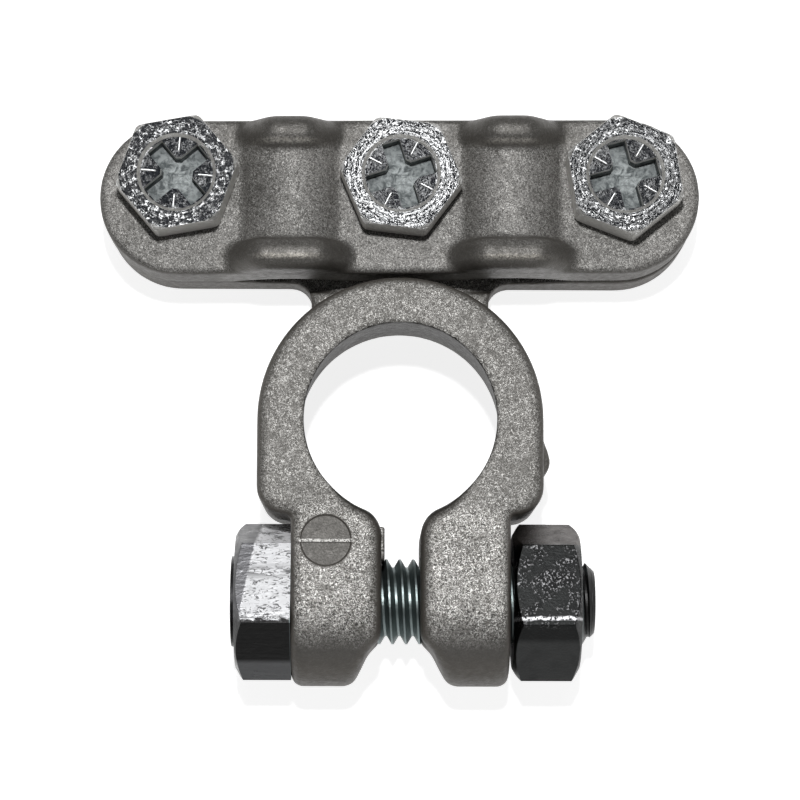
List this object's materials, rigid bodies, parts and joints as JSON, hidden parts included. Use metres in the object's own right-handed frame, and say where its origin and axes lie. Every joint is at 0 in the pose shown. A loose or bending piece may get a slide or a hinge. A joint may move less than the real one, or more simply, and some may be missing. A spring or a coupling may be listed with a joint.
{
  "type": "battery terminal clamp",
  "caption": "Cast battery terminal clamp: a split tapered ring with a pinch bolt, and a bridge with a loose cap that screws down over cable ends.",
  "frame": {"origin": "on the axis of the tapered post bore, at the underside of the casting", "axes": "+Z along the post bore, up towards the screw heads; +Y from the bore towards the cable bridge; +X along the bridge and the pinch bolt, from the bolt head towards the nut"},
  "size_m": [0.0561, 0.053, 0.0152],
  "materials": {
    "casting": "as-cast zinc alloy, fine grain",
    "plated_steel": "bright zinc plating, scratched"
  },
  "bodies": {
    "casting": {"clamp_body": "casting"},
    "cap": {"cable_cap": "casting"},
    "screw_left": {"cable_screw_left": "plated_steel"},
    "screw_middle": {"cable_screw_middle": "plated_steel"},
    "screw_right": {"cable_screw_right": "plated_steel"},
    "bolt": {"pinch_bolt": "plated_steel"},
    "nut": {"pinch_nut": "plated_steel"}
  },
  "joints": [
    {"name": "cap_lift", "type": "slide", "parent": "casting", "child": "cap", "axis": [0, 0, 1], "range_m": [0, 0.004]},
    {"name": "screw_middle_turn", "type": "hinge", "parent": "cap", "child": "screw_middle", "pos_m": [0, 0.02275, 0.0108], "axis": [0, 0, 1], "range_deg": [0, 1440]},
    {"name": "screw_left_turn", "type": "hinge", "parent": "cap", "child": "screw_left", "pos_m": [-0.0207, 0.02275, 0.0108], "axis": [0, 0, 1], "range_deg": [0, 1440]},
    {"name": "screw_right_turn", "type": "hinge", "parent": "cap", "child": "screw_right", "pos_m": [0.0207, 0.02275, 0.0108], "axis": [0, 0, 1], "range_deg": [0, 1440]},
    {"name": "nut_turn", "type": "hinge", "parent": "casting", "child": "nut", "pos_m": [0.0105, -0.01635, 0.0076], "axis": [1, 0, 0], "range_deg": [0, 1800]},
    {"name": "bolt_travel", "type": "slide", "parent": "casting", "child": "bolt", "axis": [-1, 0, 0], "range_m": [0, 0.00626]}
  ],
  "couplings": [
    {"joint": "screw_left_turn", "follows": "cap_lift", "rad_per_m": 6283.2},
    {"joint": "screw_middle_turn", "follows": "cap_lift", "rad_per_m": 6283.2},
    {"joint": "screw_right_turn", "follows": "cap_lift", "rad_per_m": 6283.2},
    {"joint": "bolt_travel", "follows": "nut_turn", "m_per_rad": 0.00019894}
  ]
}
